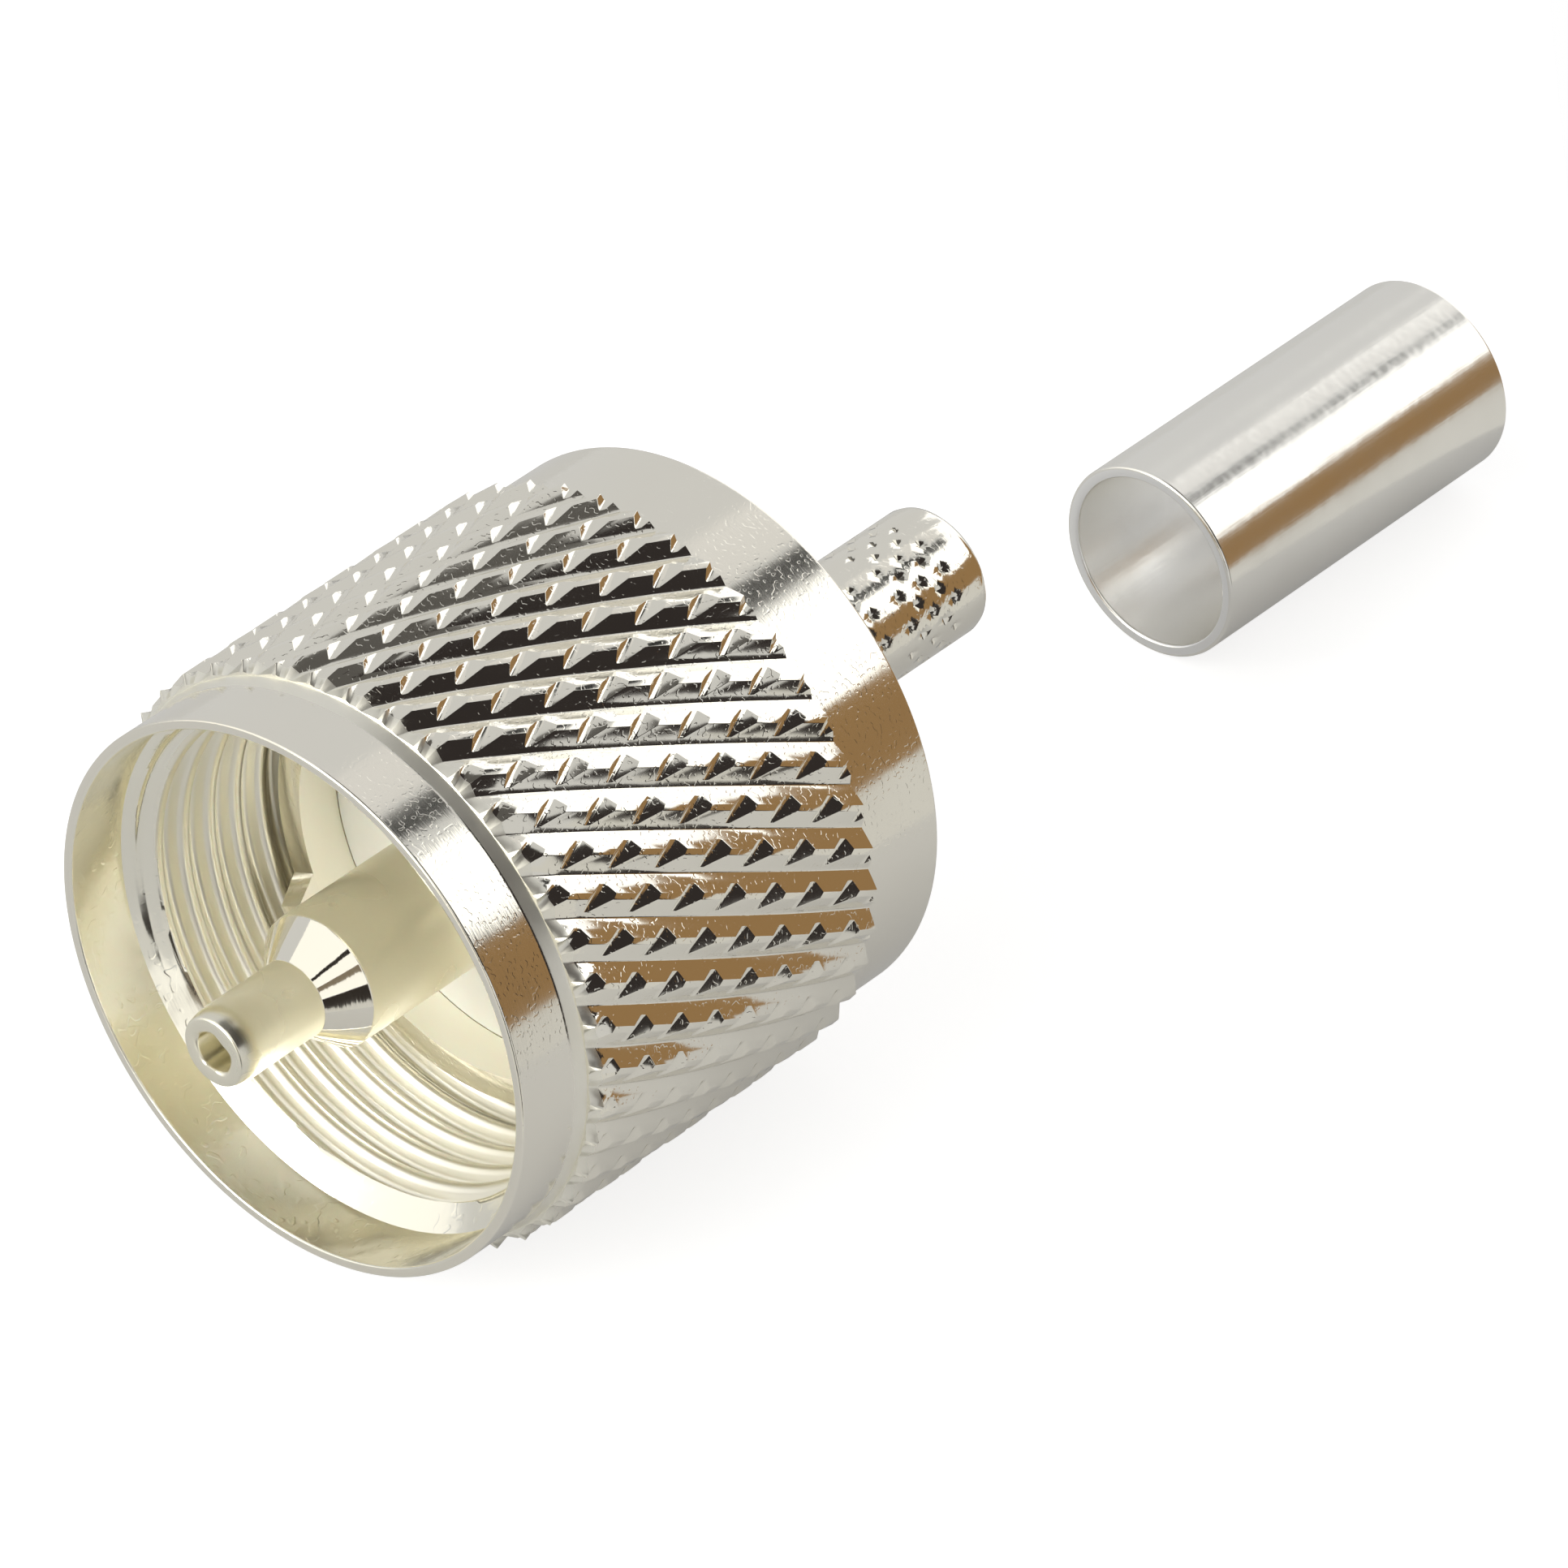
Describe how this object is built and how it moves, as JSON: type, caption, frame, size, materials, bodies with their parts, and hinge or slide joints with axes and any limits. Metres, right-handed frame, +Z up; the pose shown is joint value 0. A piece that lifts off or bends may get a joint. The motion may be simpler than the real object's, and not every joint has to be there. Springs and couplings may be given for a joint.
{
  "type": "uhf coaxial crimp plug",
  "caption": "Coaxial crimp plug with a free-turning knurled coupling nut, a hollow centre pin in a white insulator and a loose crimp ferrule behind it.",
  "frame": {"origin": "centre of the coupling nut's front rim, on the plug's axis", "axes": "+X along the plug's axis from the mating end to the cable end, +Z up from the table that the nut and the ferrule lie on"},
  "size_m": [0.0542, 0.0182, 0.0182],
  "materials": {
    "silver_plate": "bright silver plating over turned brass",
    "fluoropolymer": "turned white fluoropolymer, slightly waxy",
    "polished_plate": "polished silver plating over turned brass",
    "ferrule_plate": "satin silver plating over drawn copper alloy tube"
  },
  "bodies": {
    "plug": {"plug_body": "silver_plate", "insulator": "fluoropolymer", "centre_pin": "polished_plate"},
    "nut": {"coupling_nut": "silver_plate"},
    "ferrule": {"crimp_ferrule": "ferrule_plate"}
  },
  "joints": [
    {"name": "nut_spin", "type": "hinge", "parent": "plug", "child": "nut", "pos_m": [0, 0, 0], "axis": [1, 0, 0], "continuous": true},
    {"name": "ferrule_place", "type": "slide", "parent": "plug", "child": "ferrule", "axis": [-0.8679, -0.0742, 0.4912], "range_m": [0, 0.01213]}
  ]
}
